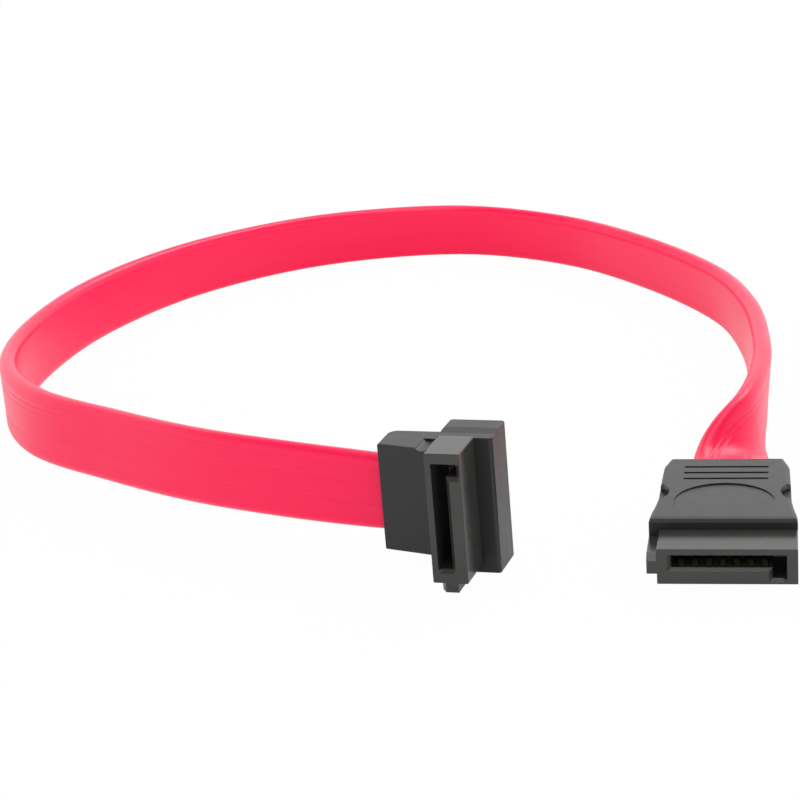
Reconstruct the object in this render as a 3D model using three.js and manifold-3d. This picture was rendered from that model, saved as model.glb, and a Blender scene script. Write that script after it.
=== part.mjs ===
// A short flat data cable: a straight plug, a right-angle plug and the ribbon between, in millimetres.
// Each plug is drawn in its own mating frame: x runs across the plug towards the key of its slot,
// y runs away from the mating face, and z runs from the thick wall that holds the contacts to the thin wall.
import * as THREE from "three";
import { mergeVertices } from "three/addons/utils/BufferGeometryUtils.js";
import Module from "manifold-3d";

const wasm = await Module();
wasm.setup();

// Nose of a plug, the part that enters the socket
const noseWidth = 12.74;
const noseHeight = 3.4;
const noseDepth = 4.95;
const noseCorner = 0.12;
const ribReach = 0.95;
const ribLow = 1.0;
const ribHeight = 1.75;
const ribLead = 0.08;
const ribSlant = 0.55;
const ribSlantDepth = 0.8;

// Slot with its key at the +x end
const slotHeight = 1.3;
const slotDepth = 5.4;
const keyWidth = 1.3;
const keyHeight = 2.35;
const thinWall = 0.58;
const keyWall = 1.0;
const blindWall = 1.28;
const slotLead = 0.4;

// Tail of the housing, which the overmould grips
const tailInset = 0.4;
const tailDepth = 3.0;
const fitGap = 0.06;

// Contacts, stamped springs that lie in channels in the thick wall
const contactCount = 7;
const contactPitch = 1.27;
const firstContact = 0.87;
const contactWidth = 0.5;
const contactThickness = 0.2;
const contactRise = 0.3;
const contactTip = 1.05;
const contactCrest = 1.75;
const beamFoot = 3.8;
const channelDepth = 1.0;
const channelStart = 0.75;
const solderTail = 2.2;

// Ribbon and its conductors
const ribbonWidth = 7.6;
const ribbonThickness = 2.1;
const ribbonGrip = 4.0;
const ribbonGap = 0.12;
const ribbonCentre = -0.28;
const conductorRadius = 0.18;
const conductorPitch = 0.95;
const conductorGathered = 0.85;
const straightConductorRun = 1.5;
const angledConductorRun = 0.5;
const chamberSide = 0.3;

// Overmould of the straight plug
const straightStep = 1.08;
const straightLength = 16.35;
const shoulderDepth = 2.6;
const waistDepth = 8.6;
const waistInset = 0.62;
const rearInset = 0.75;
const rearTaper = 2.3;
const rearTaperInset = 0.6;
const straightEdge = 0.45;
const notchRadius = 3.2;
const notchDepth = 1.0;
const notchDrop = 0.7;
const notchPlace = 7.1;
const thumbRadius = 4.7;
const thumbFront = 2.7;
const thumbCentre = 4.55;
const thumbDepth = 0.14;
const gripCount = 3;
const gripLength = 8.1;
const gripWidth = 0.45;
const gripPitch = 1.6;
const gripDepth = 0.1;
const gripLand = 1.2;

// Overmould of the right-angle plug
const angledDepth = 4.85;
const angledStep = 1.7;
const angledLip = 0.3;
const angledEdge = 0.15;
const angledCorner = 0.35;
const ridgeDrop = 0.15;
const ridgeStart = 1.3;
const ridgeEnd = 2.5;
const exitReach = 6.35;
const exitLowWall = 0.73;
const exitHighWall = 1.25;
const exitFront = 4.3;
const exitBend = 1.2;
const exitTaper = 1.1;
const exitRearCorner = 1.0;
const exitInset = 0.35;
const exitNotchRadius = 0.9;
const exitNotchDepth = 0.25;
const exitNotchPlace = 1.7;
const exitNotchLength = 3.0;

// Places of the two plugs on the surface, and how the right-angle plug stands
const straightX = 13.19;
const straightY = -10.58;
const angledX = -12.21;
const angledY = -10.45;
const angledYaw = 9;
const angledLean = 1.2;

// Free run of the ribbon: x, y, height of its middle, and lean of its upper edge into the loop in degrees
const ribbonRoute = [
  [-24, -0.8, 7.05, 6],
  [-31, 1.5, 7.1, 9.5],
  [-40, 6.2, 6.7, 11],
  [-50.5, 14, 5.95, 12],
  [-62.5, 24.7, 5.0, 9],
  [-69.8, 38.7, 4.15, -3],
  [-71.7, 54.7, 3.9, -9],
  [-68.5, 72.2, 4.2, -8],
  [-59.5, 89.7, 4.3, 3],
  [-45, 103.7, 4.0, 11],
  [-27, 108.2, 3.85, 16],
  [-12.5, 102.2, 3.85, 16.5],
  [0, 89.2, 4.0, 12.5],
  [10.2, 73.2, 3.9, 7.5],
  [14, 59.7, 3.95, 0],
  [15.3, 47.7, 4.05, -3],
  [15.5, 36.7, 4.1, -4],
  [14.6, 24.7, 3.9, 13],
  [12.9, 17, 2.5, 77],
];
const ribbonSteps = 120;
const conductorSteps = 8;
const roundSides = 8;
const notchSides = 20;
const reach = 0.5;

const materials = {
  overmould: new THREE.MeshStandardMaterial({ color: 0x35332f, roughness: 0.55, metalness: 0 }),
  housing: new THREE.MeshStandardMaterial({ color: 0x3a3936, roughness: 0.42, metalness: 0 }),
  contact: new THREE.MeshStandardMaterial({ color: 0xc9a04a, roughness: 0.3, metalness: 1 }),
  conductor: new THREE.MeshStandardMaterial({ color: 0xc0703c, roughness: 0.35, metalness: 1 }),
  ribbon: new THREE.MeshStandardMaterial({ color: 0xff2d57, roughness: 0.3, metalness: 0 }),
};

// Values worked out from the sizes above
const noseHalf = noseWidth / 2;
const slotTop = noseHeight - thinWall;
const slotFloor = slotTop - slotHeight;
const slotLeft = blindWall - noseHalf;
const slotRight = noseHalf - keyWall;
const channelFloor = slotFloor - channelDepth;
const tailEnd = noseDepth + tailDepth;
const rowStart = slotLeft + firstContact;
const rowCentre = rowStart + (contactPitch * (contactCount - 1)) / 2;
const bodyLeft = -noseHalf - ribReach;
const bodyCentre = (bodyLeft + noseHalf) / 2;
const bodyHalf = (noseHalf - bodyLeft) / 2;
const bodyFront = noseDepth + fitGap;
const chamberHalf = (contactPitch * (contactCount - 1)) / 2 + contactWidth / 2 + chamberSide;
const exitLow = rowCentre - chamberHalf - exitLowWall;
const exitHigh = rowCentre + chamberHalf + exitHighWall;
const straightRear = noseDepth + straightLength;
const straightTop = noseHeight + straightStep;
const angledRear = noseDepth + angledDepth;
const exitEnd = noseHeight + exitReach;
const ribbonMiddle = (exitFront + exitTaper + angledRear - exitInset) / 2;

function solid(geometry) {
  geometry.deleteAttribute("normal");
  geometry.deleteAttribute("uv");
  const merged = mergeVertices(geometry);
  const vertProperties = new Float32Array(merged.attributes.position.array);
  const triVerts = new Uint32Array(merged.index.array);
  return new wasm.Manifold(new wasm.Mesh({ numProp: 3, vertProperties, triVerts }));
}

function mesh(name, shape, material) {
  const { vertProperties, triVerts } = shape.getMesh();
  const geometry = new THREE.BufferGeometry();
  geometry.setAttribute("position", new THREE.BufferAttribute(new Float32Array(vertProperties), 3));
  geometry.setIndex(new THREE.BufferAttribute(new Uint32Array(triVerts), 1));
  geometry.computeVertexNormals();
  const piece = new THREE.Mesh(geometry, material);
  piece.name = name;
  return piece;
}

function block([x0, x1], [y0, y1], [z0, z1]) {
  const geometry = new THREE.BoxGeometry(x1 - x0, y1 - y0, z1 - z0);
  geometry.translate((x0 + x1) / 2, (y0 + y1) / 2, (z0 + z1) / 2);
  return solid(geometry);
}

// Bevel options that keep the outline as drawn
function edged(depth, edge, segments = 2) {
  return {
    depth: depth - 2 * edge,
    bevelEnabled: edge > 0,
    bevelThickness: edge,
    bevelSize: edge,
    bevelOffset: -edge,
    bevelSegments: segments,
    curveSegments: 10,
  };
}

// Outline in x and z, run along y
function prismY(shape, y0, y1, edge = 0) {
  const geometry = new THREE.ExtrudeGeometry(shape, edged(y1 - y0, edge));
  geometry.rotateX(Math.PI / 2);
  geometry.translate(0, y1 - edge, 0);
  return solid(geometry);
}

// Outline in x and y, run along z
function prismZ(shape, z0, z1, edge = 0) {
  const geometry = new THREE.ExtrudeGeometry(shape, edged(z1 - z0, edge));
  geometry.translate(0, 0, z0 + edge);
  return solid(geometry);
}

// Outline in y and z, run along x
function prismX(shape, x0, x1, edge = 0) {
  const geometry = new THREE.ExtrudeGeometry(shape, edged(x1 - x0, edge));
  const basis = new THREE.Matrix4().makeBasis(
    new THREE.Vector3(0, 1, 0), new THREE.Vector3(0, 0, 1), new THREE.Vector3(1, 0, 0));
  geometry.applyMatrix4(basis);
  geometry.translate(x0 + edge, 0, 0);
  return solid(geometry);
}

function outline(points) {
  return new THREE.Shape(points.map(([u, v]) => new THREE.Vector2(u, v)));
}

function roundedBox(u0, u1, v0, v1, corner) {
  const shape = new THREE.Shape();
  shape.moveTo(u0 + corner, v0);
  shape.lineTo(u1 - corner, v0);
  shape.absarc(u1 - corner, v0 + corner, corner, -Math.PI / 2, 0);
  shape.lineTo(u1, v1 - corner);
  shape.absarc(u1 - corner, v1 - corner, corner, 0, Math.PI / 2);
  shape.lineTo(u0 + corner, v1);
  shape.absarc(u0 + corner, v1 - corner, corner, Math.PI / 2, Math.PI);
  shape.lineTo(u0, v0 + corner);
  shape.absarc(u0 + corner, v0 + corner, corner, Math.PI, 1.5 * Math.PI);
  return shape;
}

// The slot as seen from the mating face, with its top and key sides moved in by trim
function slotOutline(trim) {
  const right = slotRight - trim;
  const top = slotTop - trim;
  const keyLeft = slotRight - keyWidth;
  const keyFloor = slotTop - keyHeight;
  return outline([[slotLeft, slotFloor], [keyLeft, slotFloor], [keyLeft, keyFloor],
    [right, keyFloor], [right, top], [slotLeft, top]]);
}

// Lead-in round the mouth of the slot: it widens the blind end and the lower edges only
function slotMouth() {
  const mouth = new THREE.ExtrudeGeometry(slotOutline(slotLead), {
    depth: slotLead, bevelThickness: slotLead, bevelSize: slotLead, bevelSegments: 1,
  });
  mouth.rotateX(Math.PI / 2);
  return solid(mouth);
}

function housing(name) {
  const rib = outline([[-noseHalf + reach, ribLead], [-noseHalf, 0], [bodyLeft + ribLead, 0],
    [bodyLeft, ribLead], [bodyLeft, noseDepth], [-noseHalf + reach, noseDepth]]);
  const ribTop = ribLow + ribHeight;
  const slant = outline([[-reach, ribTop - ribSlant], [0, ribTop - ribSlant], [ribSlantDepth, ribTop],
    [ribSlantDepth, ribTop + reach], [-reach, ribTop + reach]]);
  const tailHalf = noseHalf - tailInset;
  const tail = roundedBox(-tailHalf, tailHalf, tailInset, noseHeight - tailInset, noseCorner);
  const channel = [channelFloor, slotFloor + reach];
  const tailChannel = [channelFloor, slotFloor];
  let shape = prismY(roundedBox(-noseHalf, noseHalf, 0, noseHeight, noseCorner), 0, noseDepth)
    .add(prismY(tail, noseDepth - reach, tailEnd))
    .add(prismZ(rib, ribLow, ribTop).subtract(prismX(slant, bodyLeft - reach, 0)))
    .subtract(prismY(slotOutline(0), -reach, slotDepth))
    .subtract(slotMouth());
  for (let i = 0; i < contactCount; i += 1) {
    const x = rowStart + i * contactPitch;
    const side = contactWidth / 2 + fitGap;
    shape = shape
      .subtract(block([x - side, x + side], [channelStart, slotDepth], channel))
      .subtract(block([x - side, x + side], [slotDepth - reach, tailEnd + reach], tailChannel));
  }
  return mesh(name, shape, materials.housing);
}

// Side view of a contact in y and z, from its tip to the root of its solder tail
function contactOutline(tailOutline) {
  const floor = channelFloor + fitGap;
  const crest = slotFloor + contactRise;
  const root = slotDepth + fitGap;
  const back = tailEnd - fitGap;
  return outline([
    [contactTip, slotFloor - contactThickness], [contactCrest, crest - contactThickness],
    [beamFoot, floor], ...tailOutline(floor),
    [back, floor + contactThickness], [back, slotFloor - fitGap], [root, slotFloor - fitGap],
    [root, floor + contactThickness], [beamFoot, floor + contactThickness],
    [contactCrest + contactThickness, crest], [contactCrest - contactThickness, crest],
    [contactTip, slotFloor],
  ]);
}

function straightTail(floor) {
  const end = tailEnd + solderTail;
  return [[end, floor], [end, floor + contactThickness]];
}

function angledTail(floor) {
  const near = tailEnd + fitGap * 2;
  const far = near + contactThickness;
  const end = floor + solderTail;
  return [[far, floor], [far, end], [near, end], [near, floor + contactThickness]];
}

function contacts(prefix, tailOutline) {
  return Array.from({ length: contactCount }, (_, i) => {
    const x = rowStart + i * contactPitch;
    const shape = prismX(contactOutline(tailOutline), x - contactWidth / 2, x + contactWidth / 2);
    return mesh(`${prefix}_contact_${i + 1}`, shape, materials.contact);
  });
}

// Bare wire ends, from the solder tails to the end of the ribbon
function conductors(prefix, route) {
  const circle = new THREE.Shape().absarc(0, 0, conductorRadius, 0, 2 * Math.PI);
  return Array.from({ length: contactCount }, (_, i) => {
    const start = rowStart + i * contactPitch;
    const end = ribbonCentre + (i - (contactCount - 1) / 2) * conductorPitch;
    const extrudePath = new THREE.CatmullRomCurve3(
      route.map(([share, y, z]) => new THREE.Vector3(start + (end - start) * share, y, z)));
    const wire = new THREE.ExtrudeGeometry(circle, {
      steps: conductorSteps, curveSegments: roundSides / 2, bevelEnabled: false, extrudePath,
    });
    return mesh(`${prefix}_conductor_${i + 1}`, solid(wire), materials.conductor);
  });
}

function straightConductorRoute() {
  const low = channelFloor + 2 * fitGap + contactThickness + conductorRadius;
  const middle = noseHeight / 2;
  const end = straightRear - ribbonGrip - fitGap;
  const start = tailEnd + 2 * fitGap;
  const solderEnd = tailEnd + solderTail;
  return [[0, start, low], [0, solderEnd, low],
    [conductorGathered, end - straightConductorRun, middle], [1, end, middle]];
}

function angledConductorRoute() {
  const back = tailEnd + fitGap * 3 + contactThickness + conductorRadius;
  const start = channelFloor + 3 * fitGap;
  const end = exitEnd - ribbonGrip - fitGap;
  return [[0, back, start], [0, back, start + solderTail],
    [conductorGathered, ribbonMiddle, end - angledConductorRun], [1, ribbonMiddle, end]];
}

// Half of the straight overmould's outline, from the front to the rear, on the side named by its sign
function straightOutline() {
  const shoulder = noseDepth + shoulderDepth;
  const waist = noseDepth + waistDepth;
  const waistHalf = bodyHalf - waistInset;
  const rearHalf = bodyHalf - rearInset;
  const shape = new THREE.Shape();
  shape.moveTo(bodyCentre - bodyHalf, bodyFront);
  shape.lineTo(bodyCentre + bodyHalf, bodyFront);
  shape.bezierCurveTo(bodyCentre + bodyHalf, shoulder, bodyCentre + waistHalf, shoulder,
    bodyCentre + waistHalf, waist);
  shape.lineTo(bodyCentre + rearHalf, straightRear - rearTaper);
  shape.lineTo(bodyCentre + rearHalf - rearTaperInset, straightRear);
  shape.lineTo(bodyCentre - rearHalf + rearTaperInset, straightRear);
  shape.lineTo(bodyCentre - rearHalf, straightRear - rearTaper);
  shape.lineTo(bodyCentre - waistHalf, waist);
  shape.bezierCurveTo(bodyCentre - waistHalf, shoulder, bodyCentre - bodyHalf, shoulder,
    bodyCentre - bodyHalf, bodyFront);
  return shape;
}

// Thumb recess: half round at the back and square at the front, cut deepest at the back
function thumbRecess() {
  const front = noseDepth + thumbFront;
  const centre = noseDepth + thumbCentre;
  const shape = new THREE.Shape();
  shape.moveTo(bodyCentre + thumbRadius, front);
  shape.absarc(bodyCentre, centre, thumbRadius, 0, Math.PI);
  shape.lineTo(bodyCentre - thumbRadius, front);
  const back = centre + thumbRadius;
  const wedge = outline([[front, straightTop - thumbDepth / 3], [back, straightTop - thumbDepth],
    [back, straightTop + reach], [front, straightTop + reach]]);
  return prismZ(shape, straightTop - reach, straightTop + reach)
    .intersect(prismX(wedge, bodyCentre - noseHalf, bodyCentre + noseHalf));
}

function gripGrooves() {
  const first = noseDepth + thumbCentre + thumbRadius + gripLand;
  let cut = null;
  for (let i = 0; i < gripCount; i += 1) {
    const y = first + i * gripPitch;
    const groove = block([bodyCentre - gripLength / 2, bodyCentre + gripLength / 2],
      [y - gripWidth / 2, y + gripWidth / 2], [straightTop - gripDepth, straightTop + reach]);
    cut = cut ? cut.add(groove) : groove;
  }
  return cut;
}

function rod(radius, length) {
  return new THREE.CylinderGeometry(radius, radius, length, notchSides);
}

// Shallow hollows in the sides, in the upper part of the body only
function sideNotches() {
  const y = noseDepth + notchPlace;
  const half = bodyHalf - waistInset + notchRadius - notchDepth;
  const cuts = [-1, 1].map((side) => {
    const geometry = rod(notchRadius, notchDrop + reach);
    geometry.rotateX(Math.PI / 2);
    geometry.translate(bodyCentre + side * half, y, straightTop + (reach - notchDrop) / 2);
    return solid(geometry);
  });
  return cuts[0].add(cuts[1]);
}

function housingPocket() {
  const side = noseHalf - tailInset + fitGap;
  return block([-side, side], [noseDepth - reach, tailEnd + fitGap],
    [tailInset - fitGap, noseHeight - tailInset + fitGap]);
}

function ribbonHalves() {
  return [ribbonWidth / 2 + ribbonGap, ribbonThickness / 2 + ribbonGap];
}

function straightOvermould() {
  const [wide, thick] = ribbonHalves();
  const middle = noseHeight / 2;
  const ribbonEnd = straightRear - ribbonGrip;
  const shape = prismZ(straightOutline(), -straightStep, straightTop, straightEdge)
    .subtract(thumbRecess())
    .subtract(gripGrooves())
    .subtract(sideNotches())
    .subtract(housingPocket())
    .subtract(block([rowCentre - chamberHalf, rowCentre + chamberHalf], [tailEnd - reach, ribbonEnd],
      [channelFloor - fitGap, middle + thick]))
    .subtract(block([ribbonCentre - wide, ribbonCentre + wide], [ribbonEnd - reach, straightRear + reach],
      [middle - thick, middle + thick]));
  return mesh("straight_overmould", shape, materials.overmould);
}

// Side view of the cable exit in y and z: it stands proud of the body beside the nose and tapers to its end
function exitOutline() {
  const rear = angledRear - exitInset;
  const root = noseHeight - angledEdge * 2;
  const foot = noseHeight + fitGap;
  const shape = new THREE.Shape();
  shape.moveTo(bodyFront + angledEdge, root);
  shape.lineTo(rear, root);
  shape.lineTo(rear, exitEnd - exitRearCorner);
  shape.absarc(rear - exitRearCorner, exitEnd - exitRearCorner, exitRearCorner, 0, Math.PI / 2);
  shape.lineTo(exitFront + exitTaper, exitEnd);
  shape.lineTo(exitFront, foot + exitBend);
  shape.lineTo(exitFront, foot);
  shape.lineTo(bodyFront + angledEdge, foot);
  return shape;
}

// Round notch in the upper side of the exit, from its front
function exitNotch() {
  const geometry = rod(exitNotchRadius, exitNotchLength + reach);
  geometry.translate(exitHigh + exitNotchRadius - exitNotchDepth,
    exitFront + (exitNotchLength - reach) / 2, noseHeight + exitNotchPlace);
  return solid(geometry);
}

// The front of the body's upper side lies lower, and a slope leads up to the rest
function ridgeFront() {
  const front = bodyFront - reach;
  const low = noseHalf - ridgeDrop;
  const high = noseHalf + reach;
  const shape = outline([[low, front], [high, front], [high, bodyFront + ridgeEnd],
    [noseHalf, bodyFront + ridgeEnd], [low, bodyFront + ridgeStart]]);
  return prismZ(shape, -angledStep - reach, noseHeight + angledLip + reach);
}

function angledOvermould() {
  const [wide, thick] = ribbonHalves();
  const ribbonEnd = exitEnd - ribbonGrip;
  const back = tailEnd + 4 * fitGap + contactThickness + 2 * conductorRadius;
  const across = [rowCentre - chamberHalf, rowCentre + chamberHalf];
  const body = roundedBox(bodyFront, angledRear, -angledStep, noseHeight + angledLip, angledCorner);
  const shape = prismX(body, bodyLeft, noseHalf, angledEdge)
    .add(prismX(exitOutline(), exitLow, exitHigh, angledEdge)
      .subtract(exitNotch()))
    .subtract(ridgeFront())
    .subtract(housingPocket())
    .subtract(block(across, [tailEnd - reach, back], [channelFloor - fitGap, ribbonEnd]))
    .subtract(block(across, [ribbonMiddle - thick, back], [noseHeight - tailInset + fitGap, ribbonEnd]))
    .subtract(block([ribbonCentre - wide, ribbonCentre + wide],
      [ribbonMiddle - thick, ribbonMiddle + thick], [ribbonEnd - reach, exitEnd + reach]));
  return mesh("angled_overmould", shape, materials.overmould);
}

// The ribbon follows its route and leans by the angle given with each point
class RibbonCurve extends THREE.CatmullRomCurve3 {
  constructor(points, leans) {
    super(points);
    this.leans = new THREE.SplineCurve(leans.map((lean) => new THREE.Vector2(lean, 0)));
  }

  computeFrenetFrames(segments) {
    const frames = { tangents: [], normals: [], binormals: [] };
    for (let i = 0; i <= segments; i += 1) {
      const share = i / segments;
      const along = this.getTangentAt(share);
      const lean = THREE.MathUtils.degToRad(this.leans.getPoint(this.getUtoTmapping(share)).x);
      const inward = new THREE.Vector3(along.y, -along.x, 0).normalize();
      const wide = inward.multiplyScalar(Math.sin(lean)).add(new THREE.Vector3(0, 0, Math.cos(lean)));
      wide.addScaledVector(along, -wide.dot(along)).normalize();
      frames.tangents.push(along);
      frames.binormals.push(wide);
      frames.normals.push(wide.clone().cross(along));
    }
    return frames;
  }
}

// Ribbon section: flat faces and half-round edges, with twelve sides
function ribbonSection() {
  const radius = ribbonThickness / 2;
  const flat = ribbonWidth / 2 - radius;
  const points = [];
  for (const end of [1, -1]) {
    for (let i = 0; i <= 5; i += 1) {
      const angle = (i / 5) * Math.PI + (end > 0 ? 0 : Math.PI);
      points.push([radius * Math.cos(angle), end * flat + radius * Math.sin(angle)]);
    }
  }
  return outline(points);
}

// Ends of the ribbon: in the plug and at its mouth
function ribbonEnds(group, grip, mouth) {
  group.updateWorldMatrix(true, false);
  return [grip, mouth].map((point) => point.applyMatrix4(group.matrixWorld));
}

function flatCable(straight, angled) {
  const middle = noseHeight / 2;
  const first = ribbonEnds(angled, new THREE.Vector3(ribbonCentre, ribbonMiddle, exitEnd - ribbonGrip),
    new THREE.Vector3(ribbonCentre, ribbonMiddle, exitEnd));
  const last = ribbonEnds(straight, new THREE.Vector3(ribbonCentre, straightRear - ribbonGrip, middle),
    new THREE.Vector3(ribbonCentre, straightRear, middle));
  const run = ribbonRoute.map(([x, y, z]) => new THREE.Vector3(x, y, z));
  const leans = ribbonRoute.map((row) => row[3]);
  const path = new RibbonCurve([...first, ...run, ...last.reverse()],
    [angledLean, angledLean, ...leans, 90, 90]);
  const ribbon = new THREE.ExtrudeGeometry(ribbonSection(), {
    steps: ribbonSteps, bevelEnabled: false, extrudePath: path,
  });
  return mesh("flat_cable", solid(ribbon), materials.ribbon);
}

function straightPlug() {
  const plug = new THREE.Group();
  plug.add(straightOvermould(), housing("straight_housing"));
  plug.add(...contacts("straight", straightTail));
  plug.add(...conductors("straight", straightConductorRoute()));
  plug.position.set(straightX, straightY, straightStep);
  return plug;
}

// The right-angle plug stands on its rib: its x axis points up and its z axis to the left
function angledPlug() {
  const plug = new THREE.Group();
  plug.add(angledOvermould(), housing("angled_housing"));
  plug.add(...contacts("angled", angledTail));
  plug.add(...conductors("angled", angledConductorRoute()));
  plug.position.set(noseHeight / 2, 0, -bodyLeft);
  plug.rotation.y = -Math.PI / 2;
  return plug;
}

function build() {
  const lean = THREE.MathUtils.degToRad(angledLean);
  const straight = straightPlug();
  const angled = angledPlug();
  const stand = new THREE.Group();
  stand.add(angled);
  stand.rotation.y = -lean;
  const turn = new THREE.Group();
  turn.add(stand);
  turn.position.set(angledX, angledY, (noseHeight / 2) * Math.sin(lean));
  turn.rotation.z = -THREE.MathUtils.degToRad(angledYaw);
  const part = new THREE.Group();
  part.add(straight, turn);
  part.add(flatCable(straight, angled));
  return part;
}

const group = build();
export default group;
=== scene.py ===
"""A flat red data cable with a straight plug and a right-angle plug, on a white table."""
import math

import bmesh
import bpy
from mathutils import Matrix, Vector

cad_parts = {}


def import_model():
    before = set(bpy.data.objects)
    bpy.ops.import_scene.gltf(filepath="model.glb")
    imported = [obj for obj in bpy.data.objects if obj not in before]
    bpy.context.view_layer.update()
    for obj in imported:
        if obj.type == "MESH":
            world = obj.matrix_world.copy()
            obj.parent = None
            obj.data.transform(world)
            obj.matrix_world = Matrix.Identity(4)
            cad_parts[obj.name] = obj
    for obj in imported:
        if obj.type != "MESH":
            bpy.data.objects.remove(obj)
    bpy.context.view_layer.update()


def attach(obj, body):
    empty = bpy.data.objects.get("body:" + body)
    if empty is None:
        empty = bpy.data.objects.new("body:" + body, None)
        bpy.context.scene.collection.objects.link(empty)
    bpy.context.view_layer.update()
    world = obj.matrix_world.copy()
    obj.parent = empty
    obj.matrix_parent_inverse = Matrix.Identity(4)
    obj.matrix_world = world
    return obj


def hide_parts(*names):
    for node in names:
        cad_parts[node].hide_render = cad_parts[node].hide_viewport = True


MM = 0.001

# Camera, in the part's frame
CAMERA_PLACE = Vector((0.01977, -0.21375, 0.08773))
CAMERA_HEADING = math.radians(9.957)
CAMERA_PITCH = math.radians(18.42)
CAMERA_ROLL = math.radians(3.673)
CAMERA_VIEW = math.radians(18.92)
CAMERA_NEAR = 0.01

# Ribbon: width and thickness, and the faint grooves of its outer face, which are placed and sized
# as shares of its width
RIBBON_WIDTH = 7.6 * MM
RIBBON_THICKNESS = 2.1 * MM
GROOVE_PLACES = (0.27, 0.20, -0.18)
GROOVE_DEPTH = 0.08 * MM
GROOVE_WIDTH = 0.02

# Steps of the ribbon's mesh: across each face, round each edge and along each span of the route
FACE_POINTS = 48
EDGE_POINTS = 12
RINGS_PER_SPAN = 14

# Route of the ribbon: x, y and height of its middle in millimetres, and the lean of its upper edge
# into the loop in degrees. The first and last points lie in the plugs, the ones next to them at the
# plugs' mouths.
RIBBON_ROUTE = [
    (-15.193, -2.460, 6.989, 1.2),
    (-19.143, -1.834, 6.905, 1.2),
    (-24, -0.8, 7.05, 6),
    (-31, 1.5, 7.1, 9.5),
    (-40, 6.2, 6.7, 11),
    (-50.5, 14, 5.95, 12),
    (-62.5, 24.7, 5.0, 9),
    (-69.8, 38.7, 4.15, -3),
    (-71.7, 54.7, 3.9, -9),
    (-68.5, 72.2, 4.2, -8),
    (-59.5, 89.7, 4.3, 3),
    (-45, 103.7, 4.0, 11),
    (-27, 108.2, 3.85, 16),
    (-12.5, 102.2, 3.85, 16.5),
    (0, 89.2, 4.0, 12.5),
    (10.2, 73.2, 3.9, 7.5),
    (14, 59.7, 3.95, 0),
    (15.3, 47.7, 4.05, -3),
    (15.5, 36.7, 4.1, -4),
    (14.6, 24.7, 3.9, 13),
    (12.9, 17, 2.5, 77),
    (12.91, 10.72, 2.78, 90),
    (12.91, 6.72, 2.78, 90),
]

# Spacing of a spline's points: by the root of their distances, or even
ROOT_SPACING = 0.25
EVEN_SPACING = 0
LEAST_STEP = 1e-4

# Plugs: tones in eight-bit display values, roughness, depth of the grain, and softened edges
OVERMOULD_TONES = ((15, 14, 14), (22, 21, 20))
OVERMOULD_ROUGHNESS = 0.4
OVERMOULD_GRAIN = 0.002 * MM
OVERMOULD_EDGE = 0.12 * MM
HOUSING_TONES = ((46, 45, 44), (53, 52, 50))
HOUSING_ROUGHNESS = 0.2
HOUSING_GRAIN = 0.0005 * MM
HOUSING_EDGE = 0.07 * MM
HOUSING_EDGE_LOOK = 0.15 * MM
CONTACT_TONES = ((104, 90, 68), (130, 112, 86))
CONTACT_ROUGHNESS = 0.45
CONTACT_EDGE = 0.03 * MM
CONDUCTOR_TONES = ((190, 110, 72), (214, 134, 90))
CONDUCTOR_ROUGHNESS = 0.3
METAL_GRAIN = 0.001 * MM
EDGE_SEGMENTS = 2
EDGE_ANGLE = math.radians(40)
EDGE_LOOK_SAMPLES = 16

# Noise of the plugs' finishes, in repeats a metre: in the tone, in the roughness and in the grain,
# and how far the roughness strays from its value
PLASTIC_NOISE = (260, 900, 4200)
PLASTIC_STRAY = 0.06
METAL_NOISE = (1500, 3000, 6000)
METAL_POLISH = 0.05
METAL_TARNISH = 0.1

# Jacket: tones, roughness, and its streaks in repeats along and across the ribbon
JACKET_TONES = ((244, 8, 70), (255, 24, 90))
JACKET_ROUGHNESS = (0.26, 0.36)
JACKET_SPECULAR = 0.33
JACKET_GLOW = 0.1
JACKET_GLOW_COLOURS = (1.0, 0.25, 0.3)
JACKET_GLOW_DEPTH = 0.8 * MM
JACKET_RELIEF = 0.02 * MM
TONE_STREAKS = (10, 45, 1)
ROUGHNESS_STREAKS = (14, 60, 1)
RELIEF_STREAKS = (10, 70, 1)

# Floor: half its side, its colour and roughness, and its share of plain white for the rays that see
# it directly and for the others
FLOOR_HALF = 3.0
FLOOR_COLOUR = (0.9, 0.9, 0.9, 1)
FLOOR_ROUGHNESS = 0.9
FLOOR_WHITE_SEEN = 0.98
FLOOR_WHITE_ELSE = 0.4

# Light of the surroundings near the horizon and overhead, and the sines of the elevations between
# which it changes
WORLD_COLOUR = (1, 1, 1, 1)
HORIZON_LIGHT = 1.22
ZENITH_LIGHT = 0.25
HORIZON_TOP = 0.4
ZENITH_START = 0.85

# Soft lamps: place, the point that each faces, width and length, and power in watts
OVERHEAD_LAMP = {
    "place": (-0.02, 0.15, 0.75),
    "target": (-0.02, 0.13, 0.0),
    "size": (0.4, 0.98),
    "power": 3.0,
}
REAR_LAMP = {
    "place": (0.19, 0.535, 0.58),
    "target": (0.013, 0.012, 0.0),
    "size": (0.3, 0.3),
    "power": 1.5,
}

PLUGS = ("straight", "angled")
CONTACTS = 7


def linear(red, green, blue):
    """Colour given in eight-bit display values."""
    channels = [value / 255 for value in (red, green, blue)]
    return tuple(c / 12.92 if c <= 0.04045 else ((c + 0.055) / 1.055) ** 2.4 for c in channels) + (1.0,)


def new_material(name):
    material = bpy.data.materials.new(name)
    material.use_nodes = True
    tree = material.node_tree
    return material, tree, tree.nodes["Principled BSDF"]


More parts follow.
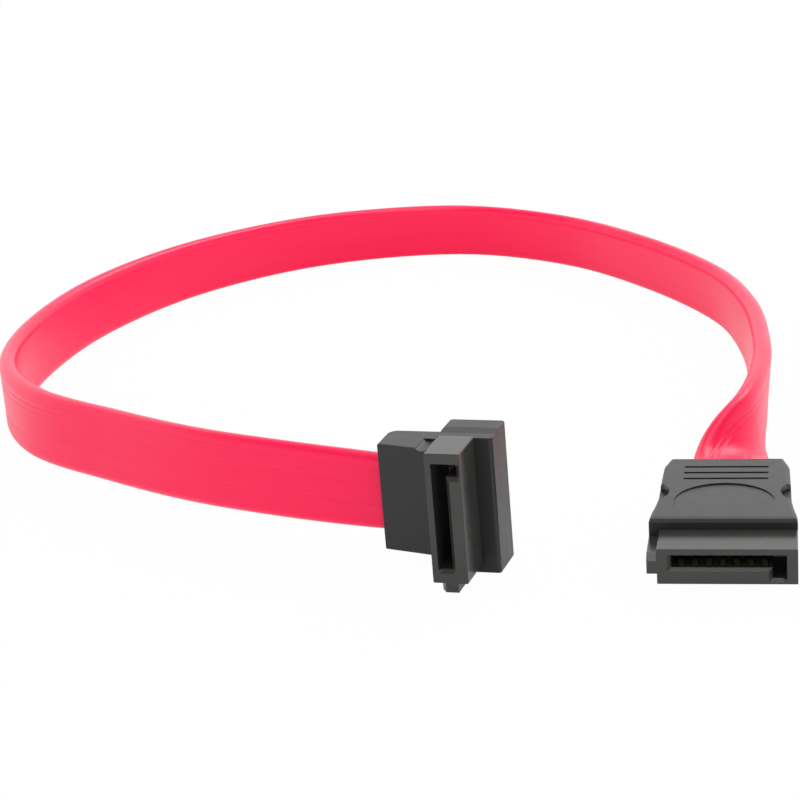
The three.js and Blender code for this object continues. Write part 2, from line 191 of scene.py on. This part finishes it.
def noise(tree, coordinates, scale, detail=3.0, stretch=(1, 1, 1)):
    """Noise in the given coordinates, drawn out by the stretch along each of them."""
    mapping = tree.nodes.new("ShaderNodeMapping")
    mapping.inputs["Scale"].default_value = stretch
    texture = tree.nodes.new("ShaderNodeTexNoise")
    texture.inputs["Scale"].default_value = scale
    texture.inputs["Detail"].default_value = detail
    tree.links.new(coordinates, mapping.inputs["Vector"])
    tree.links.new(mapping.outputs["Vector"], texture.inputs["Vector"])
    return texture.outputs["Fac"]


def ranged(tree, value, low, high):
    """A value from 0 to 1, spread from low to high."""
    node = tree.nodes.new("ShaderNodeMapRange")
    node.inputs["To Min"].default_value = low
    node.inputs["To Max"].default_value = high
    tree.links.new(value, node.inputs["Value"])
    return node.outputs["Result"]


def tint(tree, shader, value, tones):
    """Base colour between two near tones."""
    dark, light = tones
    mix = tree.nodes.new("ShaderNodeMix")
    mix.data_type = "RGBA"
    mix.inputs["A"].default_value = linear(*dark)
    mix.inputs["B"].default_value = linear(*light)
    tree.links.new(value, mix.inputs["Factor"])
    tree.links.new(mix.outputs["Result"], shader.inputs["Base Color"])


def roughen(tree, shader, value, low, high):
    """Roughness between two near values."""
    tree.links.new(ranged(tree, value, low, high), shader.inputs["Roughness"])


def bump(tree, shader, height, distance, edge=0):
    """Relief of the given depth, over edges that look rounded to the given radius."""
    node = tree.nodes.new("ShaderNodeBump")
    node.inputs["Distance"].default_value = distance
    tree.links.new(height, node.inputs["Height"])
    if edge:
        rounded = tree.nodes.new("ShaderNodeBevel")
        rounded.samples = EDGE_LOOK_SAMPLES
        rounded.inputs["Radius"].default_value = edge
        tree.links.new(rounded.outputs["Normal"], node.inputs["Normal"])
    tree.links.new(node.outputs["Normal"], shader.inputs["Normal"])


def plastic_material(name, tones, roughness, grain_depth, edge=0):
    """Moulded plastic with a fine sparked grain, and edges that look rounded to the given radius."""
    material, tree, shader = new_material(name)
    place = tree.nodes.new("ShaderNodeTexCoord").outputs["Object"]
    tone_noise, roughness_noise, grain_noise = PLASTIC_NOISE
    tint(tree, shader, noise(tree, place, tone_noise), tones)
    uneven = noise(tree, place, roughness_noise)
    roughen(tree, shader, uneven, roughness - PLASTIC_STRAY, roughness + PLASTIC_STRAY)
    bump(tree, shader, noise(tree, place, grain_noise, detail=2.0), grain_depth, edge)
    return material


def metal_material(name, tones, roughness):
    """Plated or drawn metal with faint tarnish."""
    material, tree, shader = new_material(name)
    place = tree.nodes.new("ShaderNodeTexCoord").outputs["Object"]
    tone_noise, roughness_noise, grain_noise = METAL_NOISE
    shader.inputs["Metallic"].default_value = 1.0
    tint(tree, shader, noise(tree, place, tone_noise), tones)
    uneven = noise(tree, place, roughness_noise)
    roughen(tree, shader, uneven, roughness - METAL_POLISH, roughness + METAL_TARNISH)
    bump(tree, shader, noise(tree, place, grain_noise), METAL_GRAIN)
    return material


def jacket_material():
    """Soft glossy red jacket, slightly translucent, with faint streaks along it."""
    material, tree, shader = new_material("cable_jacket")
    strip = tree.nodes.new("ShaderNodeTexCoord").outputs["UV"]
    tint(tree, shader, noise(tree, strip, 1, 4.0, TONE_STREAKS), JACKET_TONES)
    roughen(tree, shader, noise(tree, strip, 1, 3.0, ROUGHNESS_STREAKS), *JACKET_ROUGHNESS)
    shader.inputs["Subsurface Weight"].default_value = JACKET_GLOW
    shader.inputs["Subsurface Radius"].default_value = JACKET_GLOW_COLOURS
    shader.inputs["Subsurface Scale"].default_value = JACKET_GLOW_DEPTH
    shader.inputs["Specular IOR Level"].default_value = JACKET_SPECULAR
    bump(tree, shader, noise(tree, strip, 1, 2.0, RELIEF_STREAKS), JACKET_RELIEF)
    return material


def catmull_rom(before, start, end, after, share, spacing):
    """Point at a share of the way from start to end, on the spline through the four points."""
    pairs = ((before, start), (start, end), (end, after))
    steps = [max((b - a).length_squared ** spacing, LEAST_STEP) for a, b in pairs]
    leave = ((start - before) / steps[0] - (end - before) / (steps[0] + steps[1])
             + (end - start) / steps[1]) * steps[1]
    arrive = ((end - start) / steps[1] - (after - start) / (steps[1] + steps[2])
              + (after - end) / steps[2]) * steps[1]
    rise = end - start
    return (start + leave * share + (3 * rise - 2 * leave - arrive) * share ** 2
            + (leave + arrive - 2 * rise) * share ** 3)


def smooth_route():
    """Middles and leans along the ribbon, at even steps of each span."""
    points = [Vector(row[:3]) * MM for row in RIBBON_ROUTE]
    leans = [Vector((row[3], 0)) for row in RIBBON_ROUTE]
    points = [2 * points[0] - points[1], *points, 2 * points[-1] - points[-2]]
    leans = [leans[0], *leans, leans[-1]]
    middles, angles = [], []
    for i in range(1, len(points) - 2):
        for k in range(RINGS_PER_SPAN):
            share = k / RINGS_PER_SPAN
            middles.append(catmull_rom(*points[i - 1:i + 3], share, ROOT_SPACING))
            angles.append(math.radians(catmull_rom(*leans[i - 1:i + 3], share, EVEN_SPACING).x))
    middles.append(points[-2])
    angles.append(math.radians(leans[-2].x))
    return middles, angles


def groove(place):
    """Depth of the grooves at a place across the face, from -0.5 at the lower edge to 0.5 at the upper."""
    return sum(GROOVE_DEPTH * math.exp(-((place - at) / GROOVE_WIDTH) ** 2) for at in GROOVE_PLACES)


def ribbon_section():
    """Outline of the ribbon: two faces between half-round edges, with faint grooves in the outer face."""
    radius = RIBBON_THICKNESS / 2
    flat = RIBBON_WIDTH / 2 - radius
    points = []
    for side in (1, -1):
        for k in range(FACE_POINTS):
            across = side * flat * (2 * k / FACE_POINTS - 1)
            relief = groove(across / RIBBON_WIDTH) if side > 0 else 0
            points.append((side * (radius - relief), across))
        for k in range(EDGE_POINTS):
            angle = math.pi * k / EDGE_POINTS
            points.append((side * radius * math.cos(angle), side * (flat + radius * math.sin(angle))))
    return points


def ribbon_mesh(middles, leans, distances):
    """The section swept along the route, with strip coordinates along and round the ribbon."""
    section = ribbon_section()
    count = len(section)
    mesh = bmesh.new()
    uv = mesh.loops.layers.uv.new("strip")
    rings = []
    for i, middle in enumerate(middles):
        along = (middles[min(i + 1, len(middles) - 1)] - middles[max(i - 1, 0)]).normalized()
        inward = Vector((along.y, -along.x, 0)).normalized()
        wide = inward * math.sin(leans[i]) + Vector((0, 0, math.cos(leans[i])))
        wide = (wide - along * wide.dot(along)).normalized()
        out = wide.cross(along)
        rings.append([mesh.verts.new(middle + out * x + wide * y) for x, y in section])
    for i in range(len(rings) - 1):
        for k in range(count):
            after = (k + 1) % count
            face = mesh.faces.new((rings[i][k], rings[i][after], rings[i + 1][after], rings[i + 1][k]))
            face.smooth = True
            corners = ((i, k), (i, k + 1), (i + 1, k + 1), (i + 1, k))
            for loop, (ring, step) in zip(face.loops, corners):
                loop[uv].uv = (distances[ring] / distances[-1], step / count)
    mesh.faces.new(rings[0])
    mesh.faces.new(rings[-1])
    bmesh.ops.recalc_face_normals(mesh, faces=mesh.faces)
    data = bpy.data.meshes.new("ribbon")
    mesh.to_mesh(data)
    mesh.free()
    return data


def make_ribbon(material):
    middles, leans = smooth_route()
    distances = [0.0]
    for start, end in zip(middles, middles[1:]):
        distances.append(distances[-1] + (end - start).length)
    ribbon = bpy.data.objects.new("ribbon", ribbon_mesh(middles, leans, distances))
    bpy.context.collection.objects.link(ribbon)
    ribbon.data.materials.append(material)
    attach(ribbon, "root")
    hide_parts("flat_cable")


def dress(name, material, edge=0):
    """New finish and softened edges on a node of the frame."""
    piece = bpy.data.objects[name]
    piece.data.materials.clear()
    piece.data.materials.append(material)
    if edge:
        bevel = piece.modifiers.new("edges", "BEVEL")
        bevel.width = edge
        bevel.segments = EDGE_SEGMENTS
        bevel.limit_method = "ANGLE"
        bevel.angle_limit = EDGE_ANGLE


def dress_plugs():
    overmould = plastic_material("overmould", OVERMOULD_TONES, OVERMOULD_ROUGHNESS, OVERMOULD_GRAIN)
    housing = plastic_material("housing", HOUSING_TONES, HOUSING_ROUGHNESS, HOUSING_GRAIN,
                               HOUSING_EDGE_LOOK)
    gold = metal_material("contact", CONTACT_TONES, CONTACT_ROUGHNESS)
    copper = metal_material("conductor", CONDUCTOR_TONES, CONDUCTOR_ROUGHNESS)
    for plug in PLUGS:
        dress(f"{plug}_overmould", overmould, OVERMOULD_EDGE)
        dress(f"{plug}_housing", housing, HOUSING_EDGE)
        for i in range(1, CONTACTS + 1):
            dress(f"{plug}_contact_{i}", gold, CONTACT_EDGE)
            dress(f"{plug}_conductor_{i}", copper)


def make_camera():
    camera = bpy.data.objects.new("camera", bpy.data.cameras.new("camera"))
    bpy.context.collection.objects.link(camera)
    camera.data.sensor_fit = "HORIZONTAL"
    camera.data.angle = CAMERA_VIEW
    camera.data.clip_start = CAMERA_NEAR
    turn = (Matrix.Rotation(CAMERA_HEADING, 3, "Z") @ Matrix.Rotation(math.pi / 2 - CAMERA_PITCH, 3, "X")
            @ Matrix.Rotation(-CAMERA_ROLL, 3, "Z"))
    camera.location = CAMERA_PLACE
    camera.rotation_euler = turn.to_euler()
    bpy.context.scene.camera = camera


def lit_white(tree, surface, seen_share, other_share):
    """Mixes white light into a shader, by one share for the rays that see it directly and another
    for all the others."""
    seen = tree.nodes.new("ShaderNodeLightPath").outputs["Is Camera Ray"]
    white = tree.nodes.new("ShaderNodeEmission")
    white.inputs["Strength"].default_value = 1.0
    mix = tree.nodes.new("ShaderNodeMixShader")
    tree.links.new(ranged(tree, seen, other_share, seen_share), mix.inputs["Fac"])
    tree.links.new(surface, mix.inputs[1])
    tree.links.new(white.outputs["Emission"], mix.inputs[2])
    return mix.outputs["Shader"]


def make_floor():
    data = bpy.data.meshes.new("floor")
    corners = [(x * FLOOR_HALF, y * FLOOR_HALF, 0) for x, y in ((-1, -1), (1, -1), (1, 1), (-1, 1))]
    data.from_pydata(corners, [], [(0, 1, 2, 3)])
    floor = bpy.data.objects.new("floor", data)
    bpy.context.collection.objects.link(floor)
    material, tree, shader = new_material("floor")
    shader.inputs["Base Color"].default_value = FLOOR_COLOUR
    shader.inputs["Roughness"].default_value = FLOOR_ROUGHNESS
    white = lit_white(tree, shader.outputs["BSDF"], FLOOR_WHITE_SEEN, FLOOR_WHITE_ELSE)
    tree.links.new(white, tree.nodes["Material Output"].inputs["Surface"])
    data.materials.append(material)


def make_surroundings():
    """A world that is bright round the horizon and dim overhead, and plain white to the camera."""
    world = bpy.data.worlds.new("studio")
    bpy.context.scene.world = world
    world.use_nodes = True
    tree = world.node_tree
    ground = tree.nodes["Background"]
    ground.inputs["Color"].default_value = WORLD_COLOUR
    direction = tree.nodes.new("ShaderNodeSeparateXYZ")
    tree.links.new(tree.nodes.new("ShaderNodeTexCoord").outputs["Generated"], direction.inputs["Vector"])
    strength = tree.nodes.new("ShaderNodeMapRange")
    strength.interpolation_type = "SMOOTHSTEP"
    strength.inputs["From Min"].default_value = HORIZON_TOP
    strength.inputs["From Max"].default_value = ZENITH_START
    strength.inputs["To Min"].default_value = HORIZON_LIGHT
    strength.inputs["To Max"].default_value = ZENITH_LIGHT
    tree.links.new(direction.outputs["Z"], strength.inputs["Value"])
    tree.links.new(strength.outputs["Result"], ground.inputs["Strength"])
    white = lit_white(tree, ground.outputs["Background"], 1.0, 0.0)
    tree.links.new(white, tree.nodes["World Output"].inputs["Surface"])


def soft_lamp(name, place, target, size, power):
    light = bpy.data.lights.new(name, "AREA")
    light.shape = "RECTANGLE"
    light.size, light.size_y = size
    light.energy = power
    lamp = bpy.data.objects.new(name, light)
    lamp.location = place
    lamp.rotation_euler = (Vector(target) - Vector(place)).to_track_quat("-Z", "Y").to_euler()
    bpy.context.collection.objects.link(lamp)


def main():
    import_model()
    bpy.context.scene.view_settings.view_transform = "Standard"
    make_camera()
    make_ribbon(jacket_material())
    dress_plugs()
    make_floor()
    make_surroundings()
    soft_lamp("overhead", **OVERHEAD_LAMP)
    soft_lamp("behind", **REAR_LAMP)


main()
